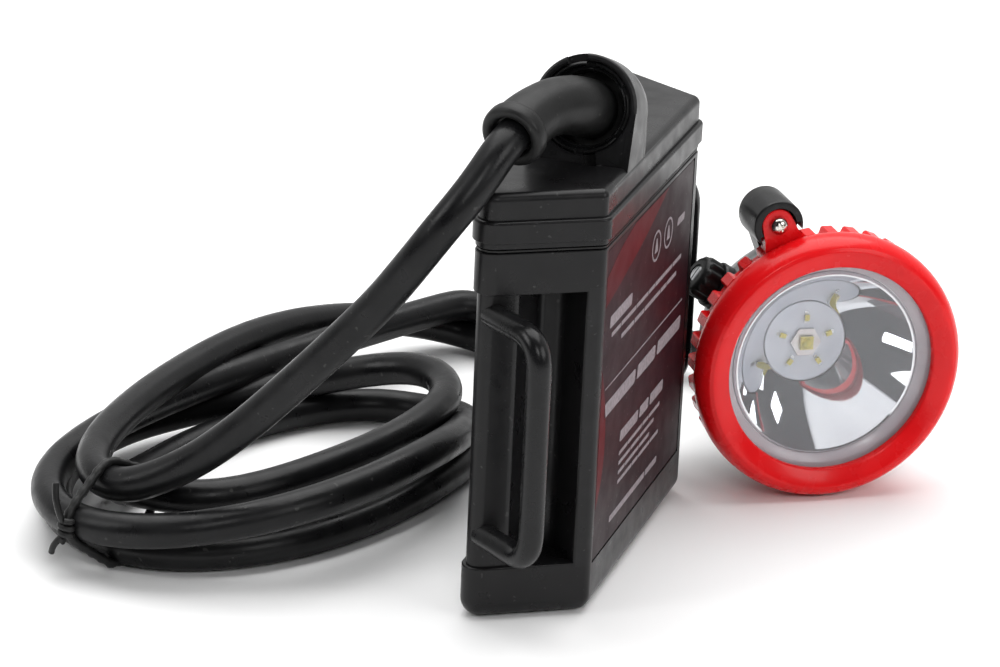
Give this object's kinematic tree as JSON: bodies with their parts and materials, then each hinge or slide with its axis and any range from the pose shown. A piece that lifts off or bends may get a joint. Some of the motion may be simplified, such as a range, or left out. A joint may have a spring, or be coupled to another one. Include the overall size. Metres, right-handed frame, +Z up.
{
  "type": "miner's cap lamp",
  "caption": "Belt battery in a tapered black case with side belt loops, a coiled rubber cord and a round LED headpiece with a toothed red screw ring.",
  "frame": {"origin": "on the battery's flat bottom, on its mid-plane, 13.5 mm behind its front face, as the battery stands upright", "axes": "+Z up, +X along the battery's width towards the headpiece's side, +Y towards the side worn against the body"},
  "size_m": [0.2065, 0.218, 0.1324],
  "materials": {
    "case_black": "satin moulded plastic",
    "loop_black": "satin coated rod",
    "rubber_black": "matt moulded rubber",
    "cord_rubber": "matt rubber sheath with a faint sheen",
    "ring_red": "glossy red plastic",
    "label_film": "printed film",
    "lens_clear": "clear polished",
    "seal_pale": "pale translucent silicone",
    "reflector_chrome": "mirror-bright",
    "screw_chrome": "polished",
    "steel": "plated steel",
    "brass": "machined",
    "sink_aluminium": "machined",
    "board_white": "white solder mask",
    "led_yellow": "phosphor",
    "board_green": "green solder mask",
    "cell_wrap": "shrink-wrapped steel can"
  },
  "bodies": {
    "battery": {"case_shell": "case_black", "label_plate": "label_film", "belt_loop_right": "loop_black", "belt_loop_left": "loop_black", "lid_gasket": "rubber_black", "lid": "case_black", "lid_screw_left": "steel", "lid_screw_right": "steel", "gland_nut": "case_black", "gland_seal": "rubber_black", "cable_boot": "rubber_black", "cell_1": "cell_wrap", "cell_2": "cell_wrap", "cell_cradle": "case_black", "protection_board": "board_green", "cord_drop": "cord_rubber", "cord_coil": "cord_rubber", "cord_tail": "cord_rubber", "coil_tie": "rubber_black"},
    "headpiece": {"bezel_ring": "ring_red", "lens": "lens_clear", "lens_gasket": "seal_pale", "reflector": "reflector_chrome", "led_board": "board_white", "led_star": "sink_aluminium", "main_led": "led_yellow", "aux_led_1": "led_yellow", "aux_led_2": "led_yellow", "aux_led_3": "led_yellow", "aux_led_4": "led_yellow", "aux_led_5": "led_yellow", "heat_sink": "sink_aluminium", "driver_board": "board_green", "housing": "case_black", "contact_insert": "brass", "lock_screw": "screw_chrome", "switch_body": "case_black", "switch_seal": "rubber_black", "rear_hook": "steel", "hook_screw_1": "steel", "hook_screw_2": "steel", "headpiece_gland_nut": "case_black", "headpiece_boot": "rubber_black"},
    "switch_knob": {"switch_knob": "case_black", "switch_shaft": "steel", "knob_screw": "steel"}
  },
  "joints": [
    {"name": "headpiece_swing", "type": "hinge", "parent": "battery", "child": "headpiece", "pos_m": [0.1041, -0.0165, 0.0199], "axis": [0, 0, 1], "range_deg": [0, 40], "deforming": ["cord_tail"]},
    {"name": "knob_turn", "type": "hinge", "parent": "headpiece", "child": "switch_knob", "pos_m": [0.05615, -0.0135, 0.05437], "axis": [-0.4546, 0.7047, 0.5446], "range_deg": [0, 90]}
  ]
}
